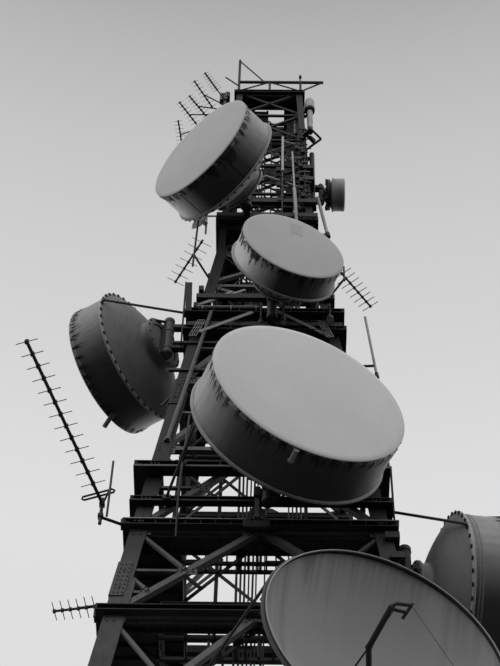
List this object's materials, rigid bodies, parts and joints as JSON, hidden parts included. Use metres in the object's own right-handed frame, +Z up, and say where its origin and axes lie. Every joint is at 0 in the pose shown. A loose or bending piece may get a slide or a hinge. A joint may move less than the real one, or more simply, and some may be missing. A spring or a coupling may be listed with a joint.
{
  "type": "cell tower (1:2 scale model)",
  "caption": "Square lattice steel cell tower with walkways, large drum antennas, an open dish and small Yagi antennas, at 1:2 scale.",
  "frame": {"origin": "middle of the tower's footprint, on the ground", "axes": "+X to the right seen from the front, +Y from the front face to the rear, +Z up"},
  "size_m": [4.9988, 4.9988, 22.14],
  "materials": {
    "tower_steel": "matt, weathered",
    "mount_steel": "matt, weathered",
    "deck": "matt, dirty",
    "shell": "satin, streaked",
    "radome": "matt",
    "aluminium": "dull",
    "whip": "satin",
    "concrete": "rough"
  },
  "bodies": {
    "root": {"base_plates": "tower_steel", "bracing_front": "tower_steel", "bracing_left": "tower_steel", "bracing_rear": "tower_steel", "bracing_right": "tower_steel", "cable_ladder": "tower_steel", "corner_plates": "tower_steel", "drum_1_bowl": "shell", "drum_1_mount": "mount_steel", "drum_1_radome": "radome", "drum_2_bowl": "shell", "drum_2_mount": "mount_steel", "drum_2_radome": "radome", "drum_3_bowl": "shell", "drum_3_mount": "mount_steel", "drum_3_radome": "radome", "drum_4_bowl": "shell", "drum_4_mount": "mount_steel", "drum_4_radome": "radome", "drum_5_bowl": "shell", "drum_5_mount": "mount_steel", "drum_5_radome": "radome", "floodlights": "tower_steel", "footings": "concrete", "ladder": "tower_steel", "large_yagi": "aluminium", "left_yagi": "aluminium", "leg_front_left": "tower_steel", "leg_front_right": "tower_steel", "leg_rear_left": "tower_steel", "leg_rear_right": "tower_steel", "low_yagi": "aluminium", "open_dish_bowl": "shell", "open_dish_feed": "mount_steel", "open_dish_mount": "mount_steel", "right_yagi": "aluminium", "ring_beams_drum": "tower_steel", "ring_beams_low": "tower_steel", "ring_beams_middle": "tower_steel", "ring_beams_top": "tower_steel", "side_frame": "tower_steel", "side_horn": "shell", "small_dish": "tower_steel", "small_drum": "shell", "small_drum_mount": "mount_steel", "top_bracing_front": "tower_steel", "top_bracing_left": "tower_steel", "top_bracing_rear": "tower_steel", "top_bracing_right": "tower_steel", "top_deck": "deck", "top_frame": "tower_steel", "walkway_a": "deck", "walkway_b": "deck", "walkway_c": "deck", "walkway_d": "deck", "whip_antennas": "whip", "yagi_group": "aluminium"}
  },
  "joints": []
}
